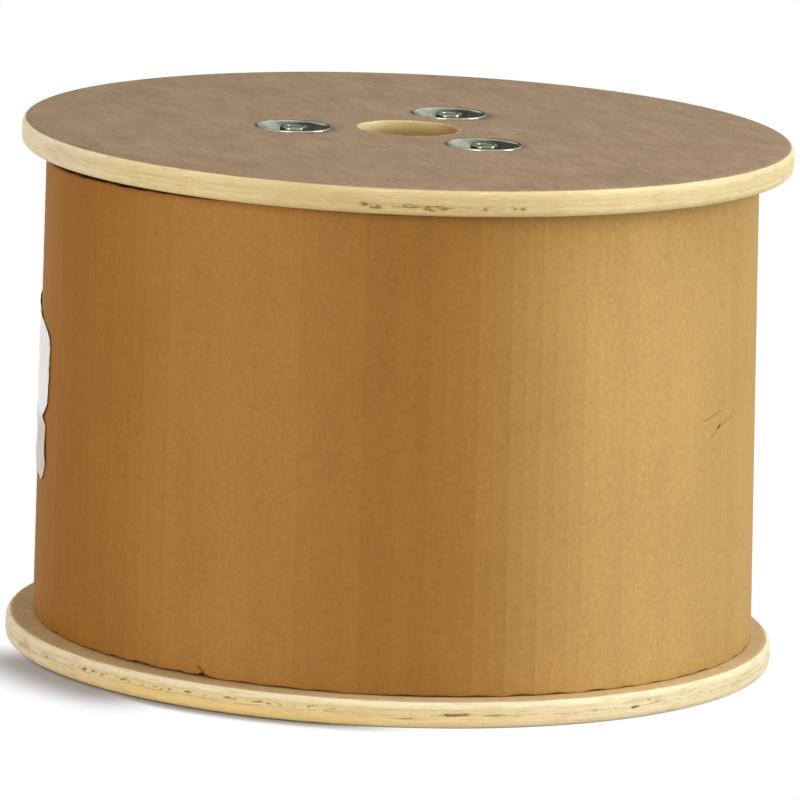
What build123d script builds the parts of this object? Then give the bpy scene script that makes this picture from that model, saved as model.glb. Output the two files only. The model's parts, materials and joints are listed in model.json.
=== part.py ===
"""Wooden cable drum standing on one flange: two plywood discs held on a paper barrel by three tie rods,
with the wound cable covered by a corrugated cardboard wrap.

Millimetres, +Z up along the drum's axis, with the floor at zero."""

from build123d import *
import os
from math import acos, atan2, cos, degrees, radians, sin, tan

os.makedirs("parts", exist_ok=True)

# Flanges and what goes between them
flange_diameter = 400.0
flange_thickness = 14.0
flange_edge_round = 4.0
traverse = 246.0
arbor_diameter = 51.0
arbor_edge_chamfer = 0.8

# Tie rods and their nuts
rod_count = 3
first_rod_angle = 70.0
rod_diameter = 8.0
rod_end_chamfer = 0.8
rod_hole_clearance = 0.3
nut_across_flats = 13.0
nut_height = 6.5
nut_thread_clearance = 0.1
nut_corner_drop = 0.7
nut_turn_angles = (-1.0, -8.0, -1.0)

# Dished washers, let into the outer faces so that the drum stands on its flange
washer_diameter = 40.0
washer_sheet = 1.2
washer_rim_land = 1.0
washer_to_arbor = 15.0
washer_rim_inset = 0.2
washer_seat_clearance = 0.2
nut_below_rim = 0.1
rod_past_nut = 0.2
nut_corner_room = 2.0

# Barrel, a paper tube seated in a groove in each flange
rod_axis_to_barrel = 13.5
barrel_wall = 6.0
barrel_groove_depth = 4.0
barrel_groove_clearance = 0.25

# Cardboard wrap over the cable, lapped and glued at the back
wrap_below_flange_edge = 14.0
wrap_board = 4.0
wrap_top_gap = 1.5
wrap_lap_length = 60.0
wrap_lap_angle = 95.0

# Wound cable
winding_barrel_clearance = 0.2
winding_wrap_slack = 5.0
winding_top_gap = 2.0

# Blank label pouch on the wrap
label_width = 120.0
label_height = 92.0
label_lift = 74.0
label_thickness = 0.4
label_clearance = 0.05
label_front_angle = 196.0

# Sizes that follow from those above
flange_radius = flange_diameter / 2
arbor_radius = arbor_diameter / 2
overall_height = traverse + 2 * flange_thickness
inner_face = flange_thickness
middle = Plane.XY.offset(overall_height / 2)

rod_radius = rod_diameter / 2
rod_hole_radius = rod_radius + rod_hole_clearance
washer_radius = washer_diameter / 2
rod_circle_radius = arbor_radius + washer_to_arbor + washer_radius
rod_places = PolarLocations(rod_circle_radius, rod_count, start_angle=first_rod_angle)

nut_corner_radius = nut_across_flats / 2 / cos(radians(30))
dish_depth = nut_below_rim + nut_height
dish_lip_radius = washer_radius - washer_rim_land
dish_floor_radius = nut_corner_radius + nut_corner_room
dish_slope = atan2(dish_depth, dish_lip_radius - dish_floor_radius)
sheet_corner_shift = washer_sheet * tan(dish_slope / 2)
dish_floor_depth = washer_rim_inset + dish_depth
rod_end_depth = washer_rim_inset + nut_below_rim - rod_past_nut
rebate_depth = washer_rim_inset + washer_sheet

barrel_inner_radius = rod_circle_radius + rod_axis_to_barrel
barrel_outer_radius = barrel_inner_radius + barrel_wall

wrap_outer_radius = flange_radius - wrap_below_flange_edge
wrap_inner_radius = wrap_outer_radius - wrap_board
wrap_height = traverse - wrap_top_gap
lap_radius = wrap_outer_radius + wrap_board
lap_turn = degrees(wrap_lap_length / lap_radius)
lap_rise_turn = degrees(acos(wrap_outer_radius / lap_radius))

label_inner_radius = wrap_outer_radius + label_clearance
label_outer_radius = label_inner_radius + label_thickness
label_turn = degrees(label_width / wrap_outer_radius)


def on_circle(radius, angle):
    """A point at this radius and angle about the drum's axis."""
    return radius * cos(radians(angle)), radius * sin(radians(angle))


def finish(builder, name):
    """Label a finished piece and write it to its own file."""
    builder.part.label = name
    export_step(builder.part, f"parts/{name}.step")


# Lower flange: its outer face is the floor, its inner face takes the barrel
with BuildPart() as lower_flange:
    with BuildSketch():
        Circle(flange_radius)
        Circle(arbor_radius, mode=Mode.SUBTRACT)
    extrude(amount=flange_thickness)
    rims = lower_flange.edges().filter_by(GeomType.CIRCLE)
    fillet(rims.filter_by(lambda rim: rim.radius > arbor_radius), flange_edge_round)
    chamfer(rims.filter_by(lambda rim: rim.radius <= arbor_radius), arbor_edge_chamfer)
    with BuildSketch(Plane.XY.offset(inner_face)):
        Circle(barrel_outer_radius + barrel_groove_clearance)
        Circle(barrel_inner_radius - barrel_groove_clearance, mode=Mode.SUBTRACT)
    extrude(amount=-barrel_groove_depth, mode=Mode.SUBTRACT)
    # A rebate for each washer's rim, a cone for its dish and a hole for its rod
    with BuildSketch():
        with rod_places:
            Circle(washer_radius + washer_seat_clearance)
    extrude(amount=rebate_depth, mode=Mode.SUBTRACT)
    with BuildSketch(Plane.XY.offset(rebate_depth)):
        with rod_places:
            Circle(dish_lip_radius + sheet_corner_shift + washer_seat_clearance)
    extrude(amount=dish_depth, taper=90 - degrees(dish_slope), mode=Mode.SUBTRACT)
    with rod_places:
        Hole(rod_hole_radius)
finish(lower_flange, "lower_flange")

with BuildPart() as upper_flange:
    mirror(lower_flange.part, about=middle)
finish(upper_flange, "upper_flange")

# Barrel: stands in both grooves
with BuildPart() as barrel:
    with BuildSketch(Plane.XY.offset(inner_face - barrel_groove_depth)):
        Circle(barrel_outer_radius)
        Circle(barrel_inner_radius, mode=Mode.SUBTRACT)
    extrude(amount=traverse + 2 * barrel_groove_depth)
finish(barrel, "barrel")

# Wound cable, one turned solid
with BuildPart() as cable_winding:
    with BuildSketch(Plane.XY.offset(inner_face)):
        Circle(wrap_inner_radius - winding_wrap_slack)
        Circle(barrel_outer_radius + winding_barrel_clearance, mode=Mode.SUBTRACT)
    extrude(amount=traverse - winding_top_gap)
finish(cable_winding, "cable_winding")

# Cardboard wrap: the outer end leaves the round at a tangent, runs over the inner end and stops in a step
lap_end_angle = wrap_lap_angle + lap_turn / 2
lap_start_angle = wrap_lap_angle - lap_turn / 2
rise_angle = lap_start_angle - lap_rise_turn
lap_step_foot = on_circle(wrap_outer_radius, lap_end_angle)
with BuildPart() as cardboard_wrap:
    with BuildSketch(Plane.XY.offset(inner_face)):
        with BuildLine():
            CenterArc((0, 0), wrap_outer_radius, lap_end_angle, 360 + rise_angle - lap_end_angle)
            Line(on_circle(wrap_outer_radius, rise_angle), on_circle(lap_radius, lap_start_angle))
            CenterArc((0, 0), lap_radius, lap_start_angle, lap_turn)
            Line(on_circle(lap_radius, lap_end_angle), lap_step_foot)
        make_face()
        Circle(wrap_inner_radius, mode=Mode.SUBTRACT)
    extrude(amount=wrap_height)
finish(cardboard_wrap, "cardboard_wrap")

# Blank label pouch, bent round the wrap
label_back_angle = label_front_angle - label_turn
with BuildPart() as label_pouch:
    with BuildSketch(Plane.XY.offset(inner_face + label_lift)):
        with BuildLine():
            CenterArc((0, 0), label_outer_radius, label_back_angle, label_turn)
            CenterArc((0, 0), label_inner_radius, label_back_angle, label_turn)
            for angle in (label_back_angle, label_front_angle):
                Line(on_circle(label_inner_radius, angle), on_circle(label_outer_radius, angle))
        make_face()
    extrude(amount=label_height)
finish(label_pouch, "label_pouch")

# Tie rods, each with a dished washer and a nut at both ends
for number, (place, nut_turn) in enumerate(zip(rod_places, nut_turn_angles), start=1):
    rod_axis = Axis(place.position, (0, 0, 1))
    rod_section = Plane(origin=place.position, x_dir=(1, 0, 0), z_dir=(0, -1, 0))

    with BuildPart() as tie_rod:
        with BuildSketch(Plane(place).offset(rod_end_depth)):
            Circle(rod_radius)
        extrude(amount=overall_height - 2 * rod_end_depth)
        chamfer(tie_rod.edges().filter_by(GeomType.CIRCLE), rod_end_chamfer)
    finish(tie_rod, f"tie_rod_{number}")

    # One sheet, pressed: rim, cone and floor, with the rod's hole
    with BuildPart() as lower_washer:
        with BuildSketch(rod_section):
            with BuildLine():
                Polyline(
                    (washer_radius, washer_rim_inset),
                    (dish_lip_radius, washer_rim_inset),
                    (dish_floor_radius, dish_floor_depth),
                    (rod_hole_radius, dish_floor_depth),
                    (rod_hole_radius, dish_floor_depth + washer_sheet),
                    (dish_floor_radius + sheet_corner_shift, dish_floor_depth + washer_sheet),
                    (dish_lip_radius + sheet_corner_shift, rebate_depth),
                    (washer_radius, rebate_depth),
                    close=True,
                )
            make_face()
        revolve(axis=rod_axis)
    finish(lower_washer, f"cup_washer_lower_{number}")

    with BuildPart() as upper_washer:
        mirror(lower_washer.part, about=middle)
    finish(upper_washer, f"cup_washer_upper_{number}")

    # Hexagon nut on the dish's floor, its corners turned off at both ends
    nut_base = washer_rim_inset + nut_below_rim
    with BuildPart() as lower_nut:
        with BuildSketch(Plane(place).offset(nut_base)):
            RegularPolygon(nut_across_flats / 2, 6, major_radius=False, rotation=nut_turn)
            Circle(rod_radius + nut_thread_clearance, mode=Mode.SUBTRACT)
        extrude(amount=nut_height)
        with BuildSketch(rod_section):
            with BuildLine():
                Polyline(
                    (0, nut_base),
                    (nut_across_flats / 2, nut_base),
                    (nut_corner_radius, nut_base + nut_corner_drop),
                    (nut_corner_radius, nut_base + nut_height - nut_corner_drop),
                    (nut_across_flats / 2, nut_base + nut_height),
                    (0, nut_base + nut_height),
                    close=True,
                )
            make_face()
        revolve(axis=rod_axis, mode=Mode.INTERSECT)
    finish(lower_nut, f"nut_lower_{number}")

    with BuildPart() as upper_nut:
        mirror(lower_nut.part, about=middle)
    finish(upper_nut, f"nut_upper_{number}")
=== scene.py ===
"""Wooden cable drum: the looks of its pieces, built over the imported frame.

Metres, +Z up along the drum's axis, with the floor at zero. The camera stands on the -Y side. Angles round
the drum run anticlockwise from +X, seen from above."""
import json
from math import acos, atan2, cos, hypot, pi, radians, sin, tau

import bpy
import numpy as np
from mathutils import Matrix, Vector


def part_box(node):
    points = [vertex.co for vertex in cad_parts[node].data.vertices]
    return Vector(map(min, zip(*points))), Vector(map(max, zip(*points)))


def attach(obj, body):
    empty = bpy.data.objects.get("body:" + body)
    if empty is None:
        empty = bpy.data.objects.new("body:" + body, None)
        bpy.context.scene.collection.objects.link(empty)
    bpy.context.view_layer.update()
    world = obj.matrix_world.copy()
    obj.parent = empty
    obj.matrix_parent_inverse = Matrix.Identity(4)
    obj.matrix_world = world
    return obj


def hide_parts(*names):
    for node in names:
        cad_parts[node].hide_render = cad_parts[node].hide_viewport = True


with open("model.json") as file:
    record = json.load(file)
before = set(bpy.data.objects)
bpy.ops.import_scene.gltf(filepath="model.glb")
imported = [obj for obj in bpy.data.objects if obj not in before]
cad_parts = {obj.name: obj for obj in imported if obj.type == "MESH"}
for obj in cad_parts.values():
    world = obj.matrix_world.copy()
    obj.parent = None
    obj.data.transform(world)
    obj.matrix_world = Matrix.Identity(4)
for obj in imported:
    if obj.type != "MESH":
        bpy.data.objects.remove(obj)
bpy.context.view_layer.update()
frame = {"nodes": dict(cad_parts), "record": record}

MM = 0.001
MICRON = 1e-6

# Sizes that the frame gives
flange_low, flange_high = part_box("lower_flange")
FLANGE_RADIUS = flange_high.x
PLY_THICKNESS = flange_high.z - flange_low.z
DRUM_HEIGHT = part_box("upper_flange")[1].z
BORE_RADIUS = frame["record"]["mounts"][0]["dims"]["r_mm"] * MM
barrel_low, barrel_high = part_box("barrel")
BARREL_RADIUS = barrel_high.x
BARREL_SEAT = PLY_THICKNESS - barrel_low.z
wrap_low, wrap_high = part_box("cardboard_wrap")
WRAP_RADIUS = -wrap_low.x
label_low, label_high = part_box("label_pouch")
washer_low, washer_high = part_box("cup_washer_upper_1")
WASHER_RADIUS = (washer_high.x - washer_low.x) / 2
nut_low, nut_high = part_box("nut_upper_1")
NUT_HEIGHT = nut_high.z - nut_low.z
rod_low, rod_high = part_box("tie_rod_1")
ROD_RADIUS = (rod_high.x - rod_low.x) / 2
rod_middle = (rod_low + rod_high) / 2
ROD_CIRCLE = hypot(rod_middle.x, rod_middle.y)
ROD_COUNT = 3
ROD_ANGLES = [atan2(rod_middle.y, rod_middle.x) + tau * place / ROD_COUNT for place in range(ROD_COUNT)]

# Sizes of the flanges that a box doesn't give
EDGE_ROUND = 4.0 * MM
BORE_ROUND = 0.8 * MM
ROD_HOLE_RADIUS = 4.3 * MM
SEAT_ROOM = 0.2 * MM
BARREL_WALL = 6.0 * MM
GROOVE_ROOM = 0.25 * MM

# Dished washers
SHEET = 1.2 * MM
RIM_INSET = 0.2 * MM
DISH_FLOOR_RADIUS = 9.5 * MM
DISH_DEPTH = washer_high.z - washer_low.z - SHEET

# Hexagon nuts, with a corner towards +X when turned by nothing
NUT_ACROSS_FLATS = 13.0 * MM
NUT_TURNS = (9.0, 2.0, 9.0)

# Cardboard wrap and its lap
BOARD = 4.0 * MM
LAP_RADIUS = WRAP_RADIUS + BOARD
LAP_MIDDLE = radians(95.0)
LAP_HALF = 30.0 * MM / LAP_RADIUS
LAP_START = LAP_MIDDLE - LAP_HALF
LAP_END = LAP_MIDDLE + LAP_HALF
LAP_RISE = LAP_START - acos(WRAP_RADIUS / LAP_RADIUS)
FLUTES = 141


# Meshes


def quads(rows, columns, closed_rows=False):
    """Faces of a grid of points numbered row by row, whose columns close. They face outwards where the
    columns run anticlockwise round the axis and the rows run anticlockwise round the section, which is up its
    outer side."""
    row, column = np.meshgrid(np.arange(rows if closed_rows else rows - 1), np.arange(columns), indexing="ij")
    next_row = (row + 1) % rows
    next_column = (column + 1) % columns
    corners = (
        row * columns + column,
        row * columns + next_column,
        next_row * columns + next_column,
        next_row * columns + column,
    )
    return np.stack(corners, axis=-1).reshape(-1, 4)


def turned(radius, height, angle, centre=(0.0, 0.0)):
    """A section carried round an upright axis: x and y are the radius times the cosine and sine of the angle,
    and every row of points has its own radius and height."""
    radius, height, angle = np.broadcast_arrays(radius, height, angle)
    x = centre[0] + radius * np.cos(angle)
    y = centre[1] + radius * np.sin(angle)
    return np.stack([x, y, height], axis=-1).reshape(-1, 3)


def section(*corners):
    """Radius and height columns of a section given as corners in metres."""
    radius, height = np.array(corners).T
    return radius[:, None], height[:, None]


def rounded(centre, radius, start, end, steps):
    """Corners along an arc of a section, from one angle to another in degrees."""
    angle = np.radians(np.linspace(start, end, steps))
    return list(zip(centre[0] + radius * np.cos(angle), centre[1] + radius * np.sin(angle)))


def weld(patches):
    """One surface from patches of points and faces: points that meet within a micrometre become one."""
    points = np.concatenate([patch_points for patch_points, _ in patches])
    counts = [len(patch_points) for patch_points, _ in patches]
    starts = np.cumsum([0] + counts[:-1])
    faces = np.concatenate([patch_faces + start for start, (_, patch_faces) in zip(starts, patches)])
    keys = np.round(points / MICRON).astype(np.int64)
    _, first, index = np.unique(keys, axis=0, return_index=True, return_inverse=True)
    return points[first], index.reshape(-1)[faces]


def uneven(seed, angle, height, turns, waves, count=9):
    """Smooth unevenness of about one either way: a sum of sine waves, each with a whole number of turns
    round the drum, so that it closes, and its own rise over a metre of height."""
    rng = np.random.default_rng(seed)
    around = rng.integers(1, turns + 1, count)
    upward = rng.uniform(-waves, waves, count) * tau
    phase = rng.uniform(0, tau, count)
    waves_sum = sum(np.sin(a * angle + u * height + p) for a, u, p in zip(around, upward, phase))
    return waves_sum / np.sqrt(count / 2) / 1.6


def arc_between(angle, middle):
    """The turn from a middle angle, between minus and plus half a turn."""
    return (angle - middle + pi) % tau - pi


def piece(name, points, faces, material, node, slot, uv=None, **attributes):
    """A mesh object at the origin from points and four-cornered faces. It rides on the root body and stands
    for its CAD node, which it hides. The slot is not used. Attributes are one number for each point."""
    mesh = bpy.data.meshes.new(name)
    mesh.vertices.add(len(points))
    mesh.vertices.foreach_set("co", np.ascontiguousarray(points, dtype=np.float32).ravel())
    mesh.loops.add(faces.size)
    mesh.loops.foreach_set("vertex_index", np.ascontiguousarray(faces, dtype=np.int32).ravel())
    mesh.polygons.add(len(faces))
    mesh.polygons.foreach_set("loop_start", np.arange(0, faces.size, faces.shape[1], dtype=np.int32))
    mesh.update(calc_edges=True)
    mesh.polygons.foreach_set("use_smooth", np.full(len(faces), True))
    for label, values in attributes.items():
        layer = mesh.attributes.new(label, "FLOAT", "POINT")
        layer.data.foreach_set("value", np.ascontiguousarray(values, dtype=np.float32).ravel())
    if uv is not None:
        layer = mesh.uv_layers.new(name="board")
        layer.data.foreach_set("uv", np.ascontiguousarray(uv[faces.ravel()], dtype=np.float32).ravel())
    mesh.validate()
    mesh.materials.append(material)
    new = bpy.data.objects.new(name, mesh)
    bpy.context.scene.collection.objects.link(new)
    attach(new, "root")
    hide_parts(node)
    return new


# Shader nodes


def new_material(name):
    """A material with its node tree and its main shader node."""
    material = bpy.data.materials.new(name)
    material.use_nodes = True
    tree = material.node_tree
    return material, tree, tree.nodes["Principled BSDF"]


def add(tree, kind, inputs=None, **settings):
    """A shader node with its settings. An input is a value, or a socket to link from."""
    node = tree.nodes.new("ShaderNode" + kind)
    for name, value in settings.items():
        setattr(node, name, value)
    for name, value in (inputs or {}).items():
        if isinstance(value, bpy.types.NodeSocket):
            tree.links.new(value, node.inputs[name])
        else:
            node.inputs[name].default_value = value
    return node


def reckon(tree, operation, first, second=0.0, clamp=False):
    """The result of a sum, product or other operation on two numbers."""
    return add(tree, "Math", {0: first, 1: second}, operation=operation, use_clamp=clamp).outputs[0]


def times(tree, first, second):
    """One number times another."""
    return reckon(tree, "MULTIPLY", first, second)


def plus(tree, first, second):
    """One number and another."""
    return reckon(tree, "ADD", first, second)


def swing(tree, noise, size, middle=0.5):
    """A noise made to swing about nought, by its size."""
    return times(tree, reckon(tree, "SUBTRACT", noise, middle), size)


def gauge(tree, operation, first, second=(0.0, 0.0, 0.0)):
    """A length, a distance or a dot product."""
    return add(tree, "VectorMath", {0: first, 1: second}, operation=operation).outputs["Value"]


def axes(tree, place):
    """The three numbers of a place."""
    return tuple(add(tree, "SeparateXYZ", {0: place}).outputs)


def blend(tree, factor, first, second, kind="MIX"):
    """One colour over another."""
    inputs = {0: factor, 6: first, 7: second}
    return add(tree, "Mix", inputs, data_type="RGBA", blend_type=kind).outputs[2]


def tint(tree, colour, mask, share, over):
    """A colour with another over it, as strong as a mask times a share."""
    return blend(tree, times(tree, mask, share), colour, (*over, 1.0))


def step(tree, value, low, high):
    """Nought below the low value and one above the high one, with a soft step between them."""
    inputs = {"Value": value, "From Min": low, "From Max": high}
    return add(tree, "MapRange", inputs, interpolation_type="SMOOTHSTEP").outputs[0]


def grain(tree, place, sizes, turn=0.0, detail=2.0, roughness=0.5, lean=0.0):
    """Noise whose marks have these sizes in metres, turned about the upright axis."""
    inputs = {"Vector": place, "Rotation": (0.0, 0.0, turn), "Scale": sizes}
    stretched = add(tree, "Mapping", inputs, vector_type="TEXTURE").outputs[0]
    inputs = {"Vector": stretched, "Scale": 1.0, "Detail": detail, "Roughness": roughness, "Distortion": lean}
    return add(tree, "TexNoise", inputs).outputs[0]


def shades(tree, factor, *stops, soft=False):
    """A colour scale from stops of a place and a colour, level at the stops if it is soft."""
    node = add(tree, "ValToRGB", {"Fac": factor})
    node.color_ramp.interpolation = "EASE" if soft else "LINEAR"
    elements = node.color_ramp.elements
    while len(elements) < len(stops):
        elements.new(0.5)
    for element, (place, colour) in zip(elements, stops):
        element.position = place
        element.color = (*colour, 1.0)
    return node.outputs[0]


def bump(tree, shader, height, distance, strength):
    """Relief on a shader's normal from a height between nought and one."""
    inputs = {"Height": height, "Distance": distance, "Strength": strength}
    tree.links.new(add(tree, "Bump", inputs).outputs[0], shader.inputs["Normal"])


def coat(tree, shader, colour, roughness, gloss=0.5):
    """Colour, roughness and strength of reflection of a shader."""
    tree.links.new(colour, shader.inputs["Base Color"])
    shader.inputs["Roughness"].default_value = roughness
    shader.inputs["Specular IOR Level"].default_value = gloss


def object_place(tree):
    """The point on the piece, in metres."""
    return add(tree, "TexCoord").outputs["Object"]


# Plywood flanges

FLANGE_COLUMNS = 1080
ARC_POINTS = FLANGE_COLUMNS // ROD_COUNT
LINE_POINTS = 24
PLY_LINES = np.array([0.2, 0.4, 0.6, 0.8])
PLY_SETBACKS = np.array([0.0, 0.05, 0.0, 0.07, 0.02]) * MM
GRAIN_TURN = radians(-68.0)
RIM_UNEVENNESS = 0.05 * MM
TEAR_DEPTH = 0.6 * MM
SEAT_SLANT_ROOM = 0.6 * MM

# Where the faces round the rods end, and the rows of points further out on the outer and the inner face
OUTER_RING = 92 * MM
INNER_RING = 68 * MM
OUTER_FACE_ROWS = np.array([118, 145, 170, 188]) * MM
INNER_FACE_ROWS = np.array([186, 160, 120]) * MM

# Woods of the plies and the glue between them, and a light and a dark one for painted light and shade
PALE = (0.82, 0.71, 0.41)
CREAM = (0.79, 0.66, 0.345)
TAN = (0.66, 0.47, 0.19)
WHITEWOOD = (0.90, 0.82, 0.57)
PAINTED_LIGHT_WOOD = (0.95, 0.86, 0.66)
STRAW = (0.92, 0.71, 0.31)
IVORY = (0.87, 0.74, 0.41)
FRONT_SHADE_WOOD = (0.50, 0.40, 0.165)
GLUE = (0.50, 0.32, 0.12)

# Dark specks on the outer faces: place and size in millimetres
SPECKS = ((116.5, -64.5, 2.2), (139.7, -10.7, 1.4), (-9.7, -65.7, 2.2), (110.5, -112.5, 1.6))


def third_of_face(rod_angle, inner_radius, outer_radius):
    """Edge of the third of a ring that lies round one rod, anticlockwise: its outer arc, a line in, its inner
    arc back and a line out."""
    arc = np.linspace(-pi / ROD_COUNT, pi / ROD_COUNT, ARC_POINTS + 1)[:-1]
    along = np.linspace(0, 1, LINE_POINTS + 1)[:-1]
    radius = np.concatenate([
        np.full(ARC_POINTS, outer_radius),
        outer_radius + (inner_radius - outer_radius) * along,
        np.full(ARC_POINTS, inner_radius),
        inner_radius + (outer_radius - inner_radius) * along,
    ])
    side = np.full(LINE_POINTS, pi / ROD_COUNT)
    angle = rod_angle + np.concatenate([arc, side, -arc, -side])
    return np.stack([radius * np.cos(angle), radius * np.sin(angle)], axis=-1)


def ruled(first, second, height, shares):
    """A level face between two closed edges: each row lies at a share of the way from the first to the
    second."""
    shares = np.array(shares)[:, None, None]
    rows = first + (second - first) * shares
    level = np.full(rows.shape[:2] + (1,), height)
    points = np.concatenate([rows, level], axis=-1)
    return points.reshape(-1, 3), quads(*rows.shape[:2])


def flange_surface(tears):
    """One plywood disc with its outer face at height zero. A section is carried round the drum's axis for the
    rim, and another for the bore. Round each rod the faces are ruled from its hole to a third of the ring,
    and a section carried round the rod's own axis makes the washer's seat. The rim is set back ply by ply.
    Each tear is a hollow that fades along and across it. Gives points, faces and how torn each point is."""
    thick = PLY_THICKNESS
    bore_mouth = BORE_RADIUS + BORE_ROUND
    seat_radius = WASHER_RADIUS + SEAT_ROOM
    dish_top = seat_radius - SEAT_SLANT_ROOM
    dish_foot = DISH_FLOOR_RADIUS + SEAT_SLANT_ROOM
    rebate = RIM_INSET + SHEET
    groove_out = BARREL_RADIUS + GROOVE_ROOM
    groove_in = BARREL_RADIUS - BARREL_WALL - GROOVE_ROOM
    corner = FLANGE_RADIUS - EDGE_ROUND

    rim_rows = np.linspace(EDGE_ROUND, thick - EDGE_ROUND, 14)[1:-1]
    rim = (
        [(OUTER_RING, 0)]
        + [(row, 0) for row in OUTER_FACE_ROWS]
        + rounded((corner, EDGE_ROUND), EDGE_ROUND, -90, 0, 12)
        + [(FLANGE_RADIUS, row) for row in rim_rows]
        + rounded((corner, thick - EDGE_ROUND), EDGE_ROUND, 0, 90, 12)
        + [(row, thick) for row in INNER_FACE_ROWS]
        + [(groove_out, thick), (groove_out, thick - BARREL_SEAT)]
        + [(groove_in, thick - BARREL_SEAT), (groove_in, thick), (INNER_RING, thick)]
    )
    bore = (
        rounded((bore_mouth, thick - BORE_ROUND), BORE_ROUND, 90, 180, 4)
        + [(BORE_RADIUS, thick * share) for share in (0.75, 0.6, 0.45, 0.3, 0.2)]
        + rounded((bore_mouth, BORE_ROUND), BORE_ROUND, 180, 270, 4)
    )
    start = ROD_ANGLES[0] - pi / ROD_COUNT
    round_axis = start + tau * np.arange(FLANGE_COLUMNS) / FLANGE_COLUMNS
    patches = []
    for part in (rim, bore):
        patches.append((turned(*section(*part), round_axis), quads(len(part), FLANGE_COLUMNS)))
    for rod_angle in ROD_ANGLES:
        rod = np.array([cos(rod_angle), sin(rod_angle)]) * ROD_CIRCLE
        outer_edge = third_of_face(rod_angle, bore_mouth, OUTER_RING)
        inner_edge = third_of_face(rod_angle, bore_mouth, INNER_RING)
        outer_way = np.arctan2(*(outer_edge - rod).T[::-1])
        inner_way = np.arctan2(*(inner_edge - rod).T[::-1])
        seat_edge = rod + seat_radius * np.stack([np.cos(outer_way), np.sin(outer_way)], axis=-1)
        hole_edge = rod + ROD_HOLE_RADIUS * np.stack([np.cos(inner_way), np.sin(inner_way)], axis=-1)
        patches.append(ruled(seat_edge, outer_edge, 0.0, (0, 0.2, 0.6, 1)))
        patches.append(ruled(inner_edge, hole_edge, thick, (0, 0.6, 1)))
        radius, height = section(
            (ROD_HOLE_RADIUS, thick),
            (ROD_HOLE_RADIUS, rebate + DISH_DEPTH),
            (dish_foot, rebate + DISH_DEPTH),
            (dish_top, rebate),
            (seat_radius, rebate),
            (seat_radius, 0),
        )
        ways = np.concatenate([inner_way[None], np.repeat(outer_way[None], 5, axis=0)])
        patches.append((turned(radius, height, ways, rod), quads(*ways.shape)))

    points, faces = weld(patches)
    x, y, z = points.T
    radius = np.hypot(x, y)
    angle = np.arctan2(y, x)
    setback = PLY_SETBACKS[np.searchsorted(PLY_LINES * thick, z)]
    torn = np.zeros_like(z)
    for tear_angle, tear_height, length, width, strength in tears:
        along = arc_between(angle, radians(tear_angle)) * FLANGE_RADIUS / (length * MM / 2)
        across = (z - tear_height * MM - 0.1 * width * MM * np.sin(3 * along)) / (width * MM / 2)
        torn = np.maximum(torn, strength * np.exp(-(along**4) - across**4))
    on_rim = np.clip((radius - FLANGE_RADIUS + EDGE_ROUND) / (0.7 * EDGE_ROUND), 0, 1)
    setback = setback + RIM_UNEVENNESS * uneven(5, angle, z, 120, 500) + TEAR_DEPTH * torn**2
    scale = 1 - on_rim * setback / radius
    return np.stack([x * scale, y * scale, z], axis=-1), faces, torn * on_rim


def scattered_tears(seed, count, *ranges):
    """Small tears at random places: angle, depth, length, width and strength within these ranges."""
    rng = np.random.default_rng(seed)
    return [tuple(rng.uniform(*limits) for limits in ranges) for _ in range(count)]


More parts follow.
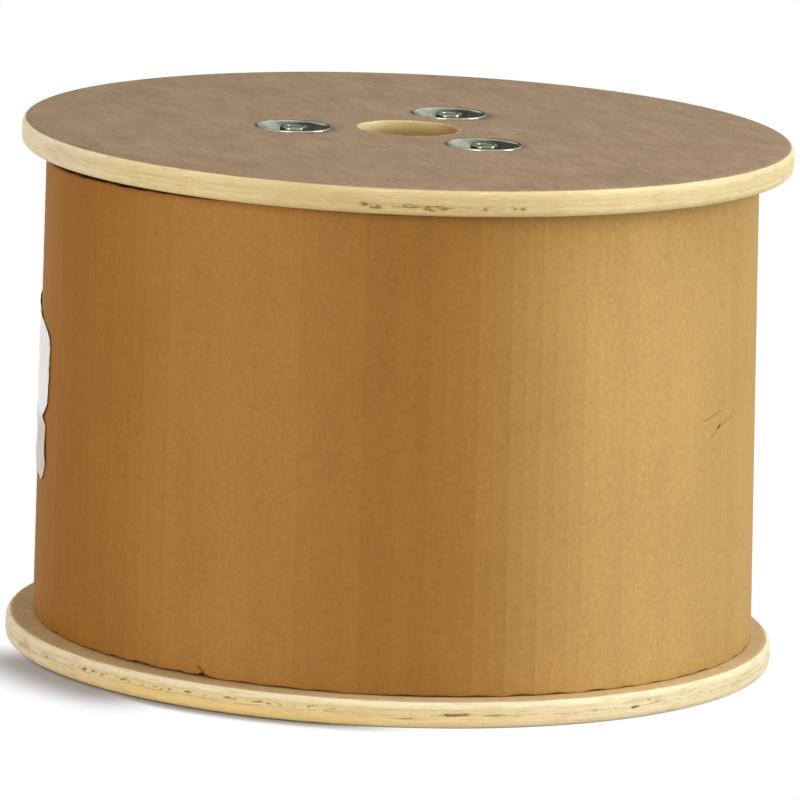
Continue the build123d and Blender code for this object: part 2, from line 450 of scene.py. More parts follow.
def plywood(name, outer_face, inward, layers, lines, right_light, front_shade):
    """Plywood: a mauve-brown veneer with fine grain on the outer face, bare wood on the inner one, and pale
    plies on the rim and in the bore. The depth from the outer face, as a share of the thickness, chooses the
    ply from the layers given, and glue lines of the given places and strengths wander between them. The rim
    has painted light, lighter at the left and lighter to the right by one given share, and painted shade,
    darker at the front by the other. Torn places break up into dark flecks, with painted shade where the
    tear is deep. The bore has painted shade deep down and at its right side, and is splintered at its mouth."""
    material, tree, shader = new_material(name)
    place = object_place(tree)
    x, y, z = axes(tree, place)
    level = add(tree, "CombineXYZ", {"X": x, "Y": y}).outputs[0]
    radius = gauge(tree, "LENGTH", level)
    depth = times(tree, reckon(tree, "SUBTRACT", z, outer_face), inward / PLY_THICKNESS)

    # Veneer of the outer face, and bare wood inside
    clouds = grain(tree, place, (0.030, 0.018, 0.03), GRAIN_TURN, detail=4.0, roughness=0.6)
    streaks = grain(tree, place, (0.017, 0.0035, 0.01), GRAIN_TURN, detail=4.0, roughness=0.65, lean=0.8)
    fine = grain(tree, place, (0.005, 0.0014, 0.01), GRAIN_TURN, detail=3.0)
    pores = grain(tree, place, (0.005, 0.0013, 0.004), GRAIN_TURN, detail=1.0)
    flecks = grain(tree, place, (0.013, 0.0024, 0.004), GRAIN_TURN, detail=2.0)
    tone = plus(tree, times(tree, clouds, 0.4), times(tree, streaks, 0.25))
    tone = plus(tree, tone, times(tree, fine, 0.35))
    veneer = shades(
        tree, tone, (0.36, (0.262, 0.177, 0.106)), (0.5, (0.338, 0.233, 0.146)), (0.64, (0.405, 0.289, 0.187))
    )
    veneer = tint(tree, veneer, step(tree, pores, 0.66, 0.76), 0.42, (0.17, 0.105, 0.06))
    veneer = tint(tree, veneer, step(tree, flecks, 0.66, 0.76), 0.38, (0.52, 0.40, 0.28))
    for speck_x, speck_y, speck_size in SPECKS:
        off = gauge(tree, "DISTANCE", level, (speck_x * MM, speck_y * MM, 0.0))
        spot = step(tree, off, speck_size * MM, 0.4 * speck_size * MM)
        veneer = tint(tree, veneer, spot, 0.6, (0.12, 0.07, 0.035))
    bare = shades(tree, tone, (0.36, (0.50, 0.35, 0.17)), (0.64, (0.64, 0.48, 0.25)))
    veneer = blend(tree, step(tree, depth, 0.6, 0.9), veneer, bare)

    # Plies of the rim, and the glue between them
    wander = grain(tree, place, (0.025, 0.025, 0.02), detail=3.0, roughness=0.6)
    layer = plus(tree, depth, swing(tree, wander, 0.16))
    long_grain = grain(tree, place, (0.016, 0.016, 0.0007), detail=4.0, roughness=0.6)
    blotches = grain(tree, place, (0.02, 0.02, 0.005), detail=4.0, roughness=0.6)
    end_grain = grain(tree, place, (0.0011, 0.0011, 0.0009), detail=2.0)
    raised = grain(tree, place, (0.009, 0.009, 0.0006), detail=3.0, roughness=0.6)
    plies = shades(tree, layer, *layers)
    # Painted light: the rim lighter to the right and at the left. Painted shade: the rim darker at the front
    to_right = step(tree, x, -0.35 * FLANGE_RADIUS, 0.75 * FLANGE_RADIUS)
    to_left = step(tree, x, -0.6 * FLANGE_RADIUS, -0.97 * FLANGE_RADIUS)
    front = step(tree, y, -0.84 * FLANGE_RADIUS, -0.99 * FLANGE_RADIUS)
    plies = tint(tree, plies, to_right, right_light, WHITEWOOD)
    plies = tint(tree, plies, to_left, 0.8, PAINTED_LIGHT_WOOD)
    plies = tint(tree, plies, front, front_shade, FRONT_SHADE_WOOD)
    plies = tint(tree, plies, step(tree, blotches, 0.46, 0.7), 0.4, TAN)
    plies = tint(tree, plies, step(tree, long_grain, 0.52, 0.72), 0.6, TAN)
    plies = tint(tree, plies, step(tree, raised, 0.56, 0.70), 0.6, WHITEWOOD)
    plies = tint(tree, plies, step(tree, end_grain, 0.6, 0.72), 0.25, GLUE)
    none = (0.0, 0.0, 0.0)
    marks = [(0.0, none)]
    for line, strength in lines:
        marks += [(line - 0.035, none), (line, (strength,) * 3), (line + 0.03, none)]
    gaps = grain(tree, place, (0.012, 0.012, 0.008), detail=3.0, roughness=0.6)
    closed = times(tree, to_right, 0.4)
    open_glue = times(tree, step(tree, gaps, 0.36, 0.62), reckon(tree, "SUBTRACT", 1.0, closed))
    plies = tint(tree, plies, shades(tree, layer, *marks), open_glue, GLUE)

    # Torn places: a stain, then dark fibres along the plies that run together, with painted shade where the
    # tear is deep
    torn = add(tree, "Attribute", attribute_name="torn").outputs["Fac"]
    plies = tint(tree, plies, step(tree, torn, 0.05, 0.7), 0.45, (0.58, 0.36, 0.14))
    ragged = grain(tree, place, (0.0055, 0.0055, 0.0011), detail=4.0, roughness=0.6)
    fleck = step(tree, plus(tree, torn, swing(tree, ragged, 2.0)), 0.62, 0.80)
    # Brown fibres, near-black where the tear is deep: a painted shade of its hollow
    fleck_colour = shades(tree, torn, (0.5, (0.20, 0.115, 0.035)), (1.0, (0.04, 0.022, 0.01)))
    plies = blend(tree, times(tree, fleck, 0.75), plies, fleck_colour)

    # Where the cut shows: below the face veneer, which follows the rounded edge a little way down
    frayed = grain(tree, place, (0.008, 0.008, 0.008), detail=4.0, roughness=0.6)
    below = plus(tree, depth, swing(tree, frayed, 0.03))
    cut = times(tree, step(tree, below, 0.04, 0.065), step(tree, below, 0.985, 0.955))
    bore_edge = (BORE_RADIUS + 1.2 * BORE_ROUND, BORE_RADIUS + 0.9 * BORE_ROUND)
    bore = step(tree, radius, *bore_edge)
    splinters = swing(tree, fine, 6.0 * MM, 0.55)
    mouth = step(tree, plus(tree, radius, splinters), *bore_edge)
    cut = reckon(tree, "MAXIMUM", cut, reckon(tree, "MAXIMUM", bore, mouth))

    # A brown tint in the bore, less at its left end; painted shade deep down; and painted shade on its right
    # side
    to_side = step(tree, x, -0.9 * BORE_RADIUS, -0.2 * BORE_RADIUS)
    plies = tint(tree, plies, plus(tree, times(tree, to_side, 0.45), 0.1), bore, (0.50, 0.35, 0.10))
    deep = step(tree, layer, 0.12, 0.5)
    plies = tint(tree, plies, deep, times(tree, bore, 0.7), (0.33, 0.21, 0.05))
    shaded_side = step(tree, x, 0.4 * BORE_RADIUS, 0.95 * BORE_RADIUS)
    plies = tint(tree, plies, times(tree, shaded_side, bore), 0.75, (0.47, 0.24, 0.07))
    coat(tree, shader, blend(tree, cut, veneer, plies), 0.62, 0.3)
    relief = blend(tree, cut, blend(tree, 0.5, streaks, fine), blend(tree, 0.5, long_grain, end_grain))
    bump(tree, shader, relief, 0.15 * MM, 0.5)
    return material


# Angle in degrees, depth from the outer face, length and width in millimetres, and strength of each tear
lower_tears = [
    (280.4, 7.5, 19.0, 2.2, 0.86), (286.0, 7.3, 16.0, 1.5, 0.62), (273.0, 5.4, 17.0, 1.0, 0.62),
    (309.3, 6.4, 6.0, 1.4, 1.15), (313.4, 7.5, 11.0, 1.4, 0.66), (319.0, 11.2, 9.0, 0.8, 0.5),
    (246.4, 8.8, 3.0, 1.3, 0.85), (247.6, 8.5, 2.0, 1.0, 0.8), (251.0, 8.6, 5.0, 1.2, 0.7),
    (253.0, 8.5, 3.0, 1.0, 0.8), (228.8, 9.3, 3.0, 1.0, 0.75), (219.5, 8.1, 6.0, 2.0, 0.55),
    (200.5, 6.7, 24.0, 4.5, 0.48),
]
lower_tears += scattered_tears(13, 44, (206, 262), (7.4, 9.2), (1.0, 4), (0.8, 1.7), (0.5, 0.9))
lower_tears += scattered_tears(14, 26, (285, 345), (6.0, 7.4), (1.5, 6), (0.5, 1.0), (0.35, 0.7))
lower_tears += scattered_tears(12, 60, (0, 360), (4.5, 11), (1.5, 9), (0.5, 1.1), (0.3, 0.75))
upper_tears = [
    (273.0, 9.5, 99.0, 4.0, 0.56), (265.1, 9.4, 17.0, 4.0, 0.76), (272.8, 9.5, 33.0, 3.8, 0.72),
    (281.5, 9.5, 5.0, 3.4, 0.8), (285.6, 9.5, 4.5, 3.2, 0.78), (287.0, 9.5, 3.0, 3.2, 0.76),
    (262.0, 9.0, 36.0, 6.5, 0.42),
]
upper_tears += scattered_tears(22, 50, (0, 360), (4, 11), (1.5, 8), (0.4, 0.9), (0.25, 0.6))

points, faces, torn = flange_surface(lower_tears)
# Lightest towards the inner edge: the plies' own pale wood, with a painted highlight along the rounded edge
lower_layers = ((0.0, STRAW), (0.42, STRAW), (0.52, IVORY), (0.74, IVORY), (0.8, WHITEWOOD), (0.93, PAINTED_LIGHT_WOOD))
lower_lines = ((0.2, 0.1), (0.5, 0.9), (0.72, 0.35))
lower_ply = plywood("plywood_lower", 0.0, 1.0, lower_layers, lower_lines, 0.8, 0.1)
piece("lower_flange_ply", points, faces, lower_ply, "lower_flange", "plywood", torn=torn)
points, faces, torn = flange_surface(upper_tears)
points[:, 2] = DRUM_HEIGHT - points[:, 2]
upper_layers = ((0.0, PALE), (0.25, PALE), (0.35, CREAM), (0.6, CREAM), (0.7, PALE), (1.0, CREAM))
upper_lines = ((0.22, 0.1), (0.42, 0.35), (0.62, 0.3))
upper_ply = plywood("plywood_upper", DRUM_HEIGHT, -1.0, upper_layers, upper_lines, 0.0, 0.44)
piece("upper_flange_ply", points, faces[:, ::-1], upper_ply, "upper_flange", "plywood", torn=torn)


# Cardboard wrap

# Its radius and place at one level height, from which it narrows and leans as it rises
WRAP_LEVEL = 45 * MM
WRAP_FULLNESS = 1.4 * MM
WRAP_TAPER = 0.0124
WRAP_SHIFT = 1.45 * MM
WRAP_LEAN = 0.0169
WRAP_BULGE = 0.2 * MM
STRIP_TILT = radians(1.6)

# Its edges and its liner: the top edge dips at the left between two angles, and the bottom edge is frayed
LINER = 0.45 * MM
DIP = 4.7 * MM
DIP_START, DIP_END = radians(245), radians(120)
DIP_SLOPE, DIP_END_SLOPE = radians(50), radians(40)
TOP_UNEVENNESS = 0.35 * MM
FRAY = 0.45 * MM
LEFT_FRAY = 0.28 * MM
LEFT_FRAY_ANGLE = radians(222)
LEFT_FRAY_WIDTH = radians(28)
CRUSH, CRUSH_REACH = 0.3 * MM, 0.9 * MM

# Nicks in the bottom edge: angle in degrees, height and width in millimetres
NICKS = ((239.6, 1.4, 4.0), (214.7, 1.6, 2.6), (304.9, 2.2, 2.4))


def wrap_skin(angle, height):
    """Radius of the wrap's outer face, and how far its middle lies towards +X. Between two flutes the board
    is a flat strip, whose radius is that of the round times the cosine of half a flute over the cosine of the
    turn from the strip's middle. Each strip is tilted a little, on slow bulges, and the whole wrap narrows
    and leans as it rises."""
    pitch = tau / FLUTES
    place = (angle - LAP_END) / pitch
    off = (place % 1.0 - 0.5) * pitch
    tilt = np.random.default_rng(31).uniform(-1, 1, FLUTES)[np.floor(place).astype(int) % FLUTES]
    strips = WRAP_RADIUS * (cos(pitch / 2) / np.cos(off) - 1 + STRIP_TILT * tilt * off)
    bulges = WRAP_BULGE * uneven(33, angle, height, 5, 3)
    above = height - WRAP_LEVEL
    radius = WRAP_RADIUS + WRAP_FULLNESS - WRAP_TAPER * above + strips + bulges
    return radius, WRAP_SHIFT - WRAP_LEAN * above


def wrap_surface():
    """The board as a ring: a section of outer wall, top edge, inner wall and bottom edge carried round the
    axis, with narrow columns at each bend between two flat strips. The outer end leaves the round along its
    tangent, where the radius is that of the round over the cosine of the turn, runs a board's thickness
    further out and stops in a step with an open flute. Both edges of the board are a little crushed."""
    columns_of_strip = np.array([0.04, 0.12, 0.5, 0.88, 0.96])
    regular = LAP_END + tau / FLUTES * (np.arange(FLUTES)[:, None] + columns_of_strip).ravel()
    regular = regular[regular < LAP_END + tau - radians(1.0)]
    lap_turn = regular - tau
    rise = np.clip(lap_turn - LAP_RISE, 0, LAP_START - LAP_RISE)
    outer = np.where(lap_turn > LAP_START, LAP_RADIUS, WRAP_RADIUS / np.cos(rise))
    end = LAP_END + tau
    inside = end - radians(0.75)
    step_angle = np.array([end, end, inside, inside, end, end])
    step_radius = np.array([
        LAP_RADIUS, LAP_RADIUS - LINER, LAP_RADIUS - 1.3 * LINER,
        WRAP_RADIUS + 1.3 * LINER, WRAP_RADIUS + LINER, WRAP_RADIUS + 0.1 * MM,
    ])
    angle = np.concatenate([regular, step_angle])
    inner_angle = np.concatenate([regular, end - radians(0.9) + radians(0.15) * np.arange(6)])
    out = np.concatenate([outer, step_radius]) - WRAP_RADIUS
    columns = len(angle)

    dip = DIP * np.clip((DIP_START - angle % tau) / DIP_SLOPE, 0, 1)
    dip = dip * np.clip((angle % tau - DIP_END) / DIP_END_SLOPE, 0, 1)
    top = wrap_high.z - dip - TOP_UNEVENNESS * (1 + uneven(34, angle, 0, 90, 0, 24))
    at_left = np.clip(1.5 - np.abs(arc_between(angle, LEFT_FRAY_ANGLE)) / LEFT_FRAY_WIDTH, 0, 1)
    bottom = wrap_low.z + FRAY * (1.2 + uneven(35, angle, 0, 60, 0, 16))
    bottom = bottom + LEFT_FRAY * at_left * (1 + uneven(36, angle, 0, 160, 0, 40))
    for nick_angle, nick_height, nick_width in NICKS:
        off = np.abs(arc_between(angle, radians(nick_angle))) * WRAP_RADIUS / (nick_width * MM / 2)
        bottom = bottom + nick_height * MM * np.clip(1 - off, 0, 1)

    ends = np.array([0, 0.0025, 0.007, 0.016, 0.035])
    share = np.concatenate([ends, np.linspace(0.06, 0.94, 27), 1 - ends[::-1]])[:, None]
    height = bottom + (top - bottom) * share
    at_edges = np.exp(-(height - bottom) / CRUSH_REACH) + np.exp(-(top - height) / CRUSH_REACH)
    height = np.concatenate([height, top[None], bottom[None]])
    radius, lean = wrap_skin(np.broadcast_to(angle, height.shape), height)
    radius[:-2] += out - CRUSH * at_edges
    radius[-2:] -= 0.75 * BOARD
    rows = len(height)
    ways = np.concatenate([np.repeat(angle[None], rows - 2, axis=0), inner_angle[None], inner_angle[None]])
    points = turned(radius, height, ways, (lean, 0.0))
    around = np.broadcast_to(angle * WRAP_RADIUS, (rows, columns))
    uv = np.stack([around.ravel(), points[:, 2]], axis=-1)
    return points, quads(rows, columns, closed_rows=True), uv


# Board colours at angles round the drum in degrees; painted light at the right, painted shade at front and
# left
BROWNS_AND_PAINTED_LIGHT = (
    (115, (0.49, 0.275, 0.075)), (200, (0.372, 0.150, 0.009)), (241, (0.465, 0.223, 0.052)),
    (272, (0.36, 0.176, 0.029)), (313, (0.628, 0.402, 0.133)), (350, (0.58, 0.367, 0.112)),
    (430, (0.50, 0.285, 0.078)),
)

# Specks and fibres: turn, size in metres, strength, colour, and the level of noise where they begin
FIBRES = (
    (0.1, (0.0008, 0.0018, 1), 0.35, (0.27, 0.12, 0.03), 0.66),
    (0.7, (0.0030, 0.0005, 1), 0.30, (0.27, 0.12, 0.03), 0.67),
    (-0.9, (0.0025, 0.0005, 1), 0.30, (0.28, 0.12, 0.035), 0.67),
    (1.3, (0.0028, 0.0005, 1), 0.22, (0.72, 0.48, 0.20), 0.67),
)

# Scratches and a split: angle and height of both ends, width in millimetres, and strength
SCRATCHES = (
    ((327.5, 144.5), (332.8, 147.6), 0.5, 0.55),
    ((329.8, 135.0), (332.4, 139.8), 0.6, 0.65),
    ((332.4, 139.8), (336.4, 142.5), 0.55, 0.55),
    ((332.1, 139.2), (332.7, 140.3), 1.25, 1.0),
    ((336.4, 142.5), (337.3, 143.5), 0.8, 0.5),
    ((336.8, 142.2), (338.0, 142.6), 0.5, 0.4),
    ((239.0, 19.2), (239.8, 16.9), 1.2, 0.75),
    ((239.2, 15.4), (240.6, 15.0), 1.3, 0.75),
)


def score(tree, place, start, end, width, strength):
    """A scratch on the board, from one place to another in angle and height: as dark as its strength where
    the distance to the line between them is under its width."""
    ends = [Vector((radians(angle) * WRAP_RADIUS, height * MM, 0.0)) for angle, height in (start, end)]
    line = ends[1] - ends[0]
    off = add(tree, "VectorMath", {0: place, 1: ends[0]}, operation="SUBTRACT").outputs[0]
    along = gauge(tree, "DOT_PRODUCT", off, line)
    share = reckon(tree, "MULTIPLY", along, 1 / line.length_squared, clamp=True)
    foot = add(tree, "VectorMath", {0: line, "Scale": share}, operation="SCALE").outputs[0]
    gap = gauge(tree, "DISTANCE", off, foot)
    return times(tree, step(tree, gap, width * MM, 0.3 * width * MM), strength)


def corrugated_board():
    """Brown corrugated board, even across the lap, with painted light, paler to the right-hand side and
    stepped strip by strip like the shading of flat strips, and painted shade, darker at the front and the
    left: fine mottle and specks, light and dark fibres, and a few scratches and a split."""
    material, tree, shader = new_material("corrugated_board")
    place = object_place(tree)
    board = add(tree, "UVMap", uv_map="board").outputs[0]
    across = axes(tree, board)[0]
    # The colour steps from strip to strip: a painted shading of the flat strips
    turned_by = reckon(tree, "SUBTRACT", times(tree, across, 1 / WRAP_RADIUS), LAP_END)
    strip = reckon(tree, "FLOOR", times(tree, turned_by, FLUTES / tau))
    turn_share = times(tree, plus(tree, strip, 0.5), 1 / FLUTES)
    stops = [((radians(angle) - LAP_END) / tau, brown) for angle, brown in BROWNS_AND_PAINTED_LIGHT]
    colour = shades(tree, turn_share, *stops, soft=True)
    strip_tone = add(tree, "TexWhiteNoise", {"W": strip}, noise_dimensions="1D").outputs["Value"]
    strip_tone = plus(tree, times(tree, strip_tone, 0.06), 0.965)
    colour = blend(tree, 1.0, colour, strip_tone, "MULTIPLY")
    clouds = grain(tree, place, (0.04, 0.04, 0.06), detail=3.0)
    mottle = grain(tree, place, (0.0024, 0.0024, 0.0032), detail=3.0, roughness=0.7)
    tone = plus(tree, times(tree, clouds, 0.3), times(tree, mottle, 0.7))
    shade = shades(
        tree, tone, (0.34, (0.81, 0.79, 0.76)), (0.5, (0.90, 0.90, 0.88)), (0.66, (0.99, 0.99, 0.99))
    )
    colour = blend(tree, 1.0, colour, shade, "MULTIPLY")
    for turn, size, strength, fibre_colour, level in FIBRES:
        fibre = step(tree, grain(tree, board, size, turn, detail=1.0), level, level + 0.07)
        colour = tint(tree, colour, fibre, strength, fibre_colour)
    marks = 0.0
    for scratch in SCRATCHES:
        marks = reckon(tree, "MAXIMUM", marks, score(tree, board, *scratch))
    colour = blend(tree, marks, colour, (0.13, 0.055, 0.006, 1))
    coat(tree, shader, colour, 0.68, 0.3)
    bump(tree, shader, reckon(tree, "SUBTRACT", mottle, marks), 0.1 * MM, 0.4)
    return material


points, faces, uv = wrap_surface()
piece("cardboard_wrap_board", points, faces, corrugated_board(), "cardboard_wrap", "corrugated_board", uv=uv)


# Blank label of crinkled film

LABEL_FRONT = radians(196.0)
LABEL_WIDTH = 120.0 * MM
LABEL_BACK = LABEL_FRONT - LABEL_WIDTH / WRAP_RADIUS
FILM = 0.15 * MM
CREASE = 0.55 * MM
EDGE_LIFT = 0.15 * MM
EDGE_RAGGEDNESS = radians(0.22)
FOOT_RAGGEDNESS = 2.2 * MM
THIN_BELOW, THIN_FROM = label_low.z + 38 * MM, label_low.z + 26 * MM

# The front edge's turn from its angle, in degrees, at shares of the label's height
EDGE_SHARES = (0.0, 0.06, 0.12, 0.32, 0.36, 0.39, 0.45, 0.6, 0.83, 0.87, 0.9, 0.93, 1.0)
EDGE_TURNS = (-3.2, -1.6, -1.3, -1.9, -4.0, -2.4, -0.8, 0.0, 0.0, -2.6, -6.4, -11.0, -16.0)


def label_surface():
    """A thin film round the wrap, outer and inner face. Its front edge is given as an angle for each height,
    with a rounded top corner, a narrower strip below and a ragged foot. Creases are ridges, the fourth power
    of a cosine, that run aslant over it."""
    rows, columns = 110, 90
    upward = np.linspace(0, 1, rows)
    along = np.linspace(0, 1, columns)
    rng = np.random.default_rng(41)
    ragged = np.interp(upward, np.linspace(0, 1, 36), rng.uniform(-1, 1, 36))
    turn = np.interp(upward, EDGE_SHARES, EDGE_TURNS)
    front = (LABEL_FRONT + np.radians(turn) + EDGE_RAGGEDNESS * ragged)[:, None]
    angle = LABEL_BACK + (front - LABEL_BACK) * along
    foot = label_low.z + np.interp(along, np.linspace(0, 1, 40), rng.uniform(0, FOOT_RAGGEDNESS, 40))
    height = foot + (label_high.z - foot) * upward[:, None]
    creases = np.zeros((rows, columns))
    for waves_round, waves_up, phase, size in rng.uniform((-40, 60, 0, 0.05), (40, 190, tau, 0.3), (9, 4)):
        creases += size * np.cos(waves_round * angle + waves_up * height + phase) ** 4
    lift = FILM + CREASE * creases * np.clip(along * 6, 0, 1)
    lift = lift + EDGE_LIFT * np.clip((along - 0.93) / 0.07, 0, 1) ** 2
    skin, lean = wrap_skin(angle, height)
    outer = turned(skin + lift + FILM, height, angle, (lean, 0.0)).reshape(rows, columns, 3)
    inner = turned(skin + lift, height, angle, (lean, 0.0)).reshape(rows, columns, 3)
    ring = np.concatenate([outer, inner[:, ::-1]], axis=1)
    faces = quads(rows, 2 * columns)
    corner = np.arange(columns - 1)
    foot_faces = np.stack([corner + 1, corner, 2 * columns - 1 - corner, 2 * columns - 2 - corner], axis=-1)
    top_faces = foot_faces[:, ::-1] + (rows - 1) * 2 * columns
    return ring.reshape(-1, 3), np.concatenate([faces, foot_faces, top_faces])


def label_film():
    """White film with a lilac cast and fine creases, greyer along the creases as painted shade, and thin
    below, where the board shows through.
    """
    material, tree, shader = new_material("label_film")
    place = object_place(tree)
    creases = grain(tree, place, (0.012, 0.012, 0.03), detail=4.0, roughness=0.6, lean=1.0)
    # Greyer where the crease noise is low: a painted shade in the creases
    colour = shades(
        tree, creases, (0.32, (0.72, 0.69, 0.75)), (0.5, (0.93, 0.92, 0.94)), (0.65, (0.97, 0.97, 0.97))
    )
    upright = axes(tree, place)[2]
    thin = step(tree, upright, THIN_BELOW, THIN_FROM)
    coat(tree, shader, tint(tree, colour, thin, 0.75, (0.45, 0.35, 0.24)), 0.3)
    bump(tree, shader, creases, 0.6 * MM, 0.5)
    return material


points, faces = label_surface()
piece("label_pouch_film", points, faces, label_film(), "label_pouch", "label_film")


# Dished washers, nuts and rods

# Bends of a washer's sheet, in millimetres: out from the floor's edge and up, and out from the rim and up
FLOOR_BEND = ((-0.6, 0.0), (0.35, 0.2), (1.1, 0.7))
LIP_BEND = ((-2.6, -1.3), (-1.6, -0.65), (-1.0, -0.2))

# Points round a sixth of a nut, as shares of it, and where its round corner begins
NUT_SHARES = np.array([-0.5, -0.46, -0.41, -0.37, -0.33, -0.1, 0.1, 0.33, 0.37, 0.41, 0.46])
NUT_CORNER_SHARE = 0.33
NUT_CORNER_WEAR = 0.45 * MM
NUT_SLOPE = radians(30)
NUT_EDGE = 0.12 * MM
NUT_HOLE_RADIUS = ROD_RADIUS + 0.1 * MM
NUT_HOLE_SINK = 0.6 * MM

# The upper washers' lips stand proud of the face, and their nuts sit a little higher than the lower ones
UPPER_LIP = 0.7 * MM
UPPER_LIFT = 0.8 * MM


def zinc(name, colour, roughness, scratch):
    """Zinc plate: a metal with cloudy colour and fine scratches, duller where it is cloudy."""
    material, tree, shader = new_material(name)
    place = object_place(tree)
    clouds = grain(tree, place, (0.006, 0.006, 0.004), detail=4.0, roughness=0.6)
    scratches = grain(tree, place, (0.004, 0.0003, 0.002), 0.6, detail=3.0)
    dull = tuple(0.72 * part for part in colour)
    tree.links.new(shades(tree, clouds, (0.35, dull), (0.6, colour)), shader.inputs["Base Color"])
    tree.links.new(plus(tree, times(tree, clouds, 0.2), roughness - 0.1), shader.inputs["Roughness"])
    bump(tree, shader, scratches, scratch * MM, 0.4)
    shader.inputs["Metallic"].default_value = 1.0
    return material


def cup_washer_surface(centre, lip, lift):
    """A pressed sheet carried round the rod's axis, below a face at height zero: a lip that stands above the
    face by its own amount and ends in a bead, a cone and a flat floor, lifted a little, with every bend
    rounded, then the same line a sheet's thickness below."""
    columns = 120
    half = SHEET / 2
    bead = 1.3 * half
    top = lip - bead
    floor = lift - RIM_INSET - DISH_DEPTH - half
    middle = np.array(
        [(ROD_HOLE_RADIUS, floor)]
        + [(DISH_FLOOR_RADIUS + out * MM, floor + up * MM) for out, up in FLOOR_BEND]
        + [(WASHER_RADIUS + out * MM, top + up * MM) for out, up in LIP_BEND]
        + [(WASHER_RADIUS - bead, top)]
    )
    along = np.gradient(middle, axis=0)
    normal = np.stack([-along[:, 1], along[:, 0]], axis=-1) / np.linalg.norm(along, axis=1)[:, None]
    thick = np.array([half] * (len(middle) - 2) + [1.15 * half, bead])[:, None]
    upper = middle + thick * normal
    under = middle - thick * normal
    lip_end = np.array(rounded(tuple(middle[-1]), bead, 70, -70, 7))
    line = np.concatenate([under, lip_end[::-1], upper[::-1]])
    angle = tau * np.arange(columns) / columns
    points = turned(line[:, :1], line[:, 1:], angle, centre)
    return points, quads(len(line), columns, closed_rows=True)


def hex_nut_surface(centre, turn):
    """A hexagon nut on the height zero, carried round the rod's axis. Its radius is half the width across
    flats over the cosine of the turn from the nearest flat, kept short of the corner so that the corner is
    round, and both ends fall by a slope of 30 degrees outside the circle that the flats touch."""
    flat = NUT_ACROSS_FLATS / 2
    sixth = tau / 6
    near = NUT_SHARES * sixth
    angle = (np.arange(6)[:, None] * sixth + near).ravel()
    off = np.tile(near, 6)
    at_corner = (np.abs(off) / sixth - NUT_CORNER_SHARE) / (0.5 - NUT_CORNER_SHARE)
    reach = flat / np.cos(off) - NUT_CORNER_WEAR * np.clip(at_corner, 0, 1) ** 2
    drop = (reach - flat) * np.tan(NUT_SLOPE) + NUT_EDGE
    ones = np.ones_like(angle)
    lower_half = [
        (NUT_HOLE_RADIUS * ones, NUT_HOLE_SINK * ones),
        ((NUT_HOLE_RADIUS + NUT_HOLE_SINK) * ones, 0 * ones),
        ((flat - 0.25 * MM) * ones, 0 * ones),
        (reach - 0.35 * MM, drop * 0.7),
        (reach - NUT_EDGE, drop + 0.2 * MM),
        (reach, drop + 0.9 * MM),
    ]
    rows = lower_half + [(row, NUT_HEIGHT - height) for row, height in lower_half[::-1]]
    radius = np.stack([row[0] for row in rows])
    height = np.stack([row[1] for row in rows])
    points = turned(radius, height, angle + sixth / 2 + radians(turn), centre)
    return points, quads(len(rows), len(angle), closed_rows=True)


washer_zinc = zinc("zinc_washer", (0.54, 0.55, 0.45), 0.24, 0.02)
nut_zinc = zinc("zinc_nut", (0.34, 0.37, 0.26), 0.22, 0.02)
rod_zinc = zinc("zinc_rod", (0.50, 0.50, 0.43), 0.34, 0.03)
for number, (rod_angle, nut_turn) in enumerate(zip(ROD_ANGLES, NUT_TURNS), start=1):
    rod = (ROD_CIRCLE * cos(rod_angle), ROD_CIRCLE * sin(rod_angle))
    for end, lip, lift in (("upper", UPPER_LIP, UPPER_LIFT), ("lower", 0.0, 0.0)):
        points, faces = cup_washer_surface(rod, lip, lift)
        if end == "upper":
            points[:, 2] += DRUM_HEIGHT
        else:
            points[:, 2] *= -1
            faces = faces[:, ::-1]
        washer = f"cup_washer_{end}_{number}"
        piece(washer + "_cup", points, faces, washer_zinc, washer, "zinc_washer")
        nut = f"nut_{end}_{number}"
        points, faces = hex_nut_surface(rod, nut_turn)
        points[:, 2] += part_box(nut)[0].z + lift
        piece(nut + "_hex", points, faces, nut_zinc, nut, "zinc_nut")


# Pieces that keep their CAD shape

CABLE_PITCH = 8 * MM


def paper_tube():
    """Grey-brown paper, cloudy and finely fibrous."""
    material, tree, shader = new_material("paper_tube")
    place = object_place(tree)
    clouds = grain(tree, place, (0.02, 0.02, 0.006), detail=4.0)
    fibres = grain(tree, place, (0.003, 0.003, 0.0008), detail=2.0)
    tone = blend(tree, 0.5, clouds, fibres)
    colour = shades(tree, tone, (0.35, (0.25, 0.17, 0.095)), (0.65, (0.40, 0.29, 0.17)))
    coat(tree, shader, colour, 0.8)
    bump(tree, shader, fibres, 0.1 * MM, 0.5)
    return material


def cable_jacket():
    """Dark cable sheath, one turn above another."""
    material, tree, shader = new_material("cable_jacket")
    place = object_place(tree)
    upright = axes(tree, place)[2]
    turns = reckon(tree, "SINE", times(tree, upright, tau / CABLE_PITCH))
    scuffs = grain(tree, place, (0.02, 0.02, 0.002), detail=3.0)
    colour = shades(tree, scuffs, (0.35, (0.030, 0.019, 0.008)), (0.7, (0.075, 0.048, 0.020)))
    coat(tree, shader, colour, 0.7)
    bump(tree, shader, times(tree, turns, 0.5), 2 * MM, 1.0)
    return material


kept = {"barrel": paper_tube(), "cable_winding": cable_jacket()}
kept.update({f"tie_rod_{number}": rod_zinc for number in range(1, ROD_COUNT + 1)})
for node, material in kept.items():
    materials = frame["nodes"][node].data.materials
    materials.clear()
    materials.append(material)


# Floor, light and camera

WHITE = (1.0, 1.0, 1.0, 1.0)


def seen_ray(tree):
    """One for what the camera sees, also in metal and through glass, and nought for light on the pieces."""
    path = add(tree, "LightPath")
    seen = reckon(tree, "ADD", path.outputs["Is Camera Ray"], path.outputs["Is Glossy Ray"], clamp=True)
    return reckon(tree, "ADD", seen, path.outputs["Is Transmission Ray"], clamp=True)


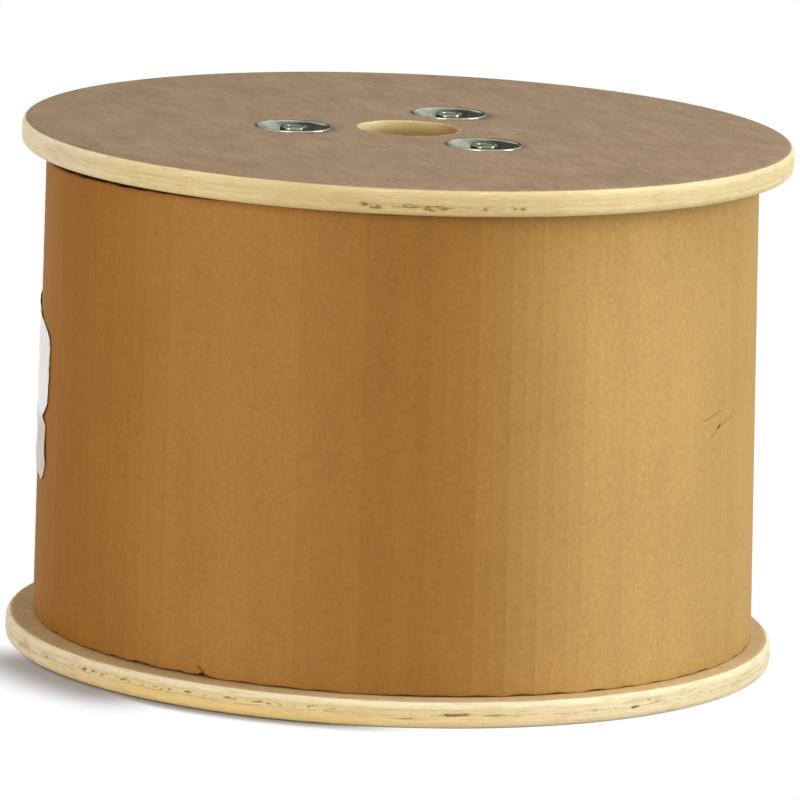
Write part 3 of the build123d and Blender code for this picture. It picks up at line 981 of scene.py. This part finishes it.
def painted_floor_shadow(tree, towards, radii, cosines):
    """A mask for a painted shadow on the floor to one side of the drum. It fades out between two radii, from
    the second to the first, and round the drum between two cosines of the turn from its direction."""
    place = object_place(tree)
    way = add(tree, "VectorMath", {0: place}, operation="NORMALIZE").outputs[0]
    beside = step(tree, gauge(tree, "LENGTH", place), *radii)
    return times(tree, beside, step(tree, gauge(tree, "DOT_PRODUCT", way, towards), *cosines))


def studio_floor():
    """A wide pale floor with a painted shadow cast to the left of the drum and a painted contact shadow at
    its front-left foot: there the floor shows its shading on a colour darker for the camera than for light,
    and away from them it fades to white. It throws less light back on the drum than it shows."""
    reach = 8.0
    corners = np.array([(-reach, -reach, 0), (reach, -reach, 0), (reach, reach, 0), (-reach, reach, 0)])
    mesh = bpy.data.meshes.new("floor")
    mesh.from_pydata(corners.tolist(), [], [(0, 1, 2, 3)])
    floor = bpy.data.objects.new("floor", mesh)
    bpy.context.scene.collection.objects.link(floor)
    material = bpy.data.materials.new("floor_white")
    material.use_nodes = True
    tree = material.node_tree
    tree.nodes.clear()
    seen = seen_ray(tree)
    # Painted shadows: one cast to the left and a thin one where the drum stands at the front-left
    cast = painted_floor_shadow(tree, (-0.829, -0.559, 0.0), (0.248, 0.202), (0.91, 0.99))
    touch = painted_floor_shadow(tree, (-0.574, -0.819, 0.0), (0.212, 0.201), (0.75, 0.92))
    far = reckon(tree, "SUBTRACT", 1.0, reckon(tree, "MAXIMUM", cast, touch))
    colour = blend(tree, seen, (0.58, 0.56, 0.54, 1), (0.46, 0.45, 0.46, 1))
    paint = add(tree, "BsdfDiffuse", {"Color": colour}).outputs[0]
    white = add(tree, "Emission", {"Color": WHITE, "Strength": 1.0}).outputs[0]
    lift = add(tree, "Emission", {"Color": WHITE, "Strength": times(tree, seen, 0.03)}).outputs[0]
    near = add(tree, "AddShader", {0: paint, 1: lift}).outputs[0]
    surface = add(tree, "MixShader", {0: times(tree, seen, far), 1: near, 2: white}).outputs[0]
    add(tree, "OutputMaterial", {"Surface": surface})
    mesh.materials.append(material)


def studio_world():
    """The camera sees a white backdrop. Metal and gloss see it at the front and the sides, and a dim ceiling
    and back that are darker to the left. The light on the pieces is even and soft."""
    world = bpy.data.worlds.new("studio")
    bpy.context.scene.world = world
    world.use_nodes = True
    tree = world.node_tree
    tree.nodes.clear()
    x, y, z = axes(tree, add(tree, "TexCoord").outputs["Generated"])
    sides = reckon(tree, "MAXIMUM", step(tree, x, 0.25, 0.45), step(tree, x, -0.48, -0.58))
    sides = times(tree, sides, step(tree, z, 0.15, 0.4))
    front = reckon(tree, "MAXIMUM", step(tree, y, 0.2, -0.15), sides)
    front = reckon(tree, "MAXIMUM", front, add(tree, "LightPath").outputs["Is Camera Ray"])
    ceiling = plus(tree, times(tree, step(tree, x, -0.3, 0.4), 0.4), 0.08)
    soft = add(tree, "Background", {"Color": (1.0, 0.97, 0.93, 1), "Strength": 0.26}).outputs[0]
    white = add(tree, "Background", {"Color": WHITE, "Strength": 1.0}).outputs[0]
    dim = add(tree, "Background", {"Color": (0.97, 1, 0.93, 1), "Strength": ceiling}).outputs[0]
    backdrop = add(tree, "MixShader", {0: front, 1: dim, 2: white}).outputs[0]
    light = add(tree, "MixShader", {0: seen_ray(tree), 1: soft, 2: backdrop}).outputs[0]
    add(tree, "OutputWorld", {"Surface": light})


def softbox(name, place, width, height, power, colour, in_gloss=True):
    """A broad lamp that faces the middle of the drum, and that metal shows or doesn't."""
    lamp = bpy.data.lights.new(name, "AREA")
    lamp.shape = "RECTANGLE"
    lamp.size = width
    lamp.size_y = height
    lamp.energy = power
    lamp.color = colour
    holder = bpy.data.objects.new(name, lamp)
    bpy.context.scene.collection.objects.link(holder)
    holder.location = place
    holder.visible_glossy = in_gloss
    towards = Vector((0, 0, DRUM_HEIGHT / 2)) - Vector(place)
    holder.rotation_euler = towards.to_track_quat("-Z", "Y").to_euler()


studio_floor()
studio_world()
softbox("key_right", (1.92, -0.2, 0.95), 1.0, 1.2, 22.5, (1.0, 0.99, 0.96))
softbox("fill_front_left", (-1.05, -2.5, 0.9), 1.2, 1.2, 38, (1.0, 0.91, 0.80))
softbox("top", (0.6, -0.3, 2.0), 1.2, 1.2, 17.5, (1.0, 1.0, 1.0), in_gloss=False)
softbox("back_left", (-1.2, 1.5, 0.35), 0.8, 0.5, 17, (1.0, 0.97, 0.97), in_gloss=False)

ELEVATION = radians(10.40)
ROLL = radians(2.40)
DISTANCE = 4.5
AIM = Vector((1.3, 0.0, 130.8)) * MM
camera_data = bpy.data.cameras.new("camera")
camera_data.sensor_width = 36.0
camera_data.lens = 388.8
camera_data.clip_end = 50.0
camera = bpy.data.objects.new("camera", camera_data)
bpy.context.scene.collection.objects.link(camera)
camera.location = AIM + DISTANCE * Vector((0, -cos(ELEVATION), sin(ELEVATION)))
facing = Matrix.Rotation(pi / 2 - ELEVATION, 3, "X") @ Matrix.Rotation(ROLL, 3, "Z")
camera.rotation_euler = facing.to_euler()
bpy.context.scene.camera = camera
bpy.context.scene.view_settings.view_transform = "Standard"
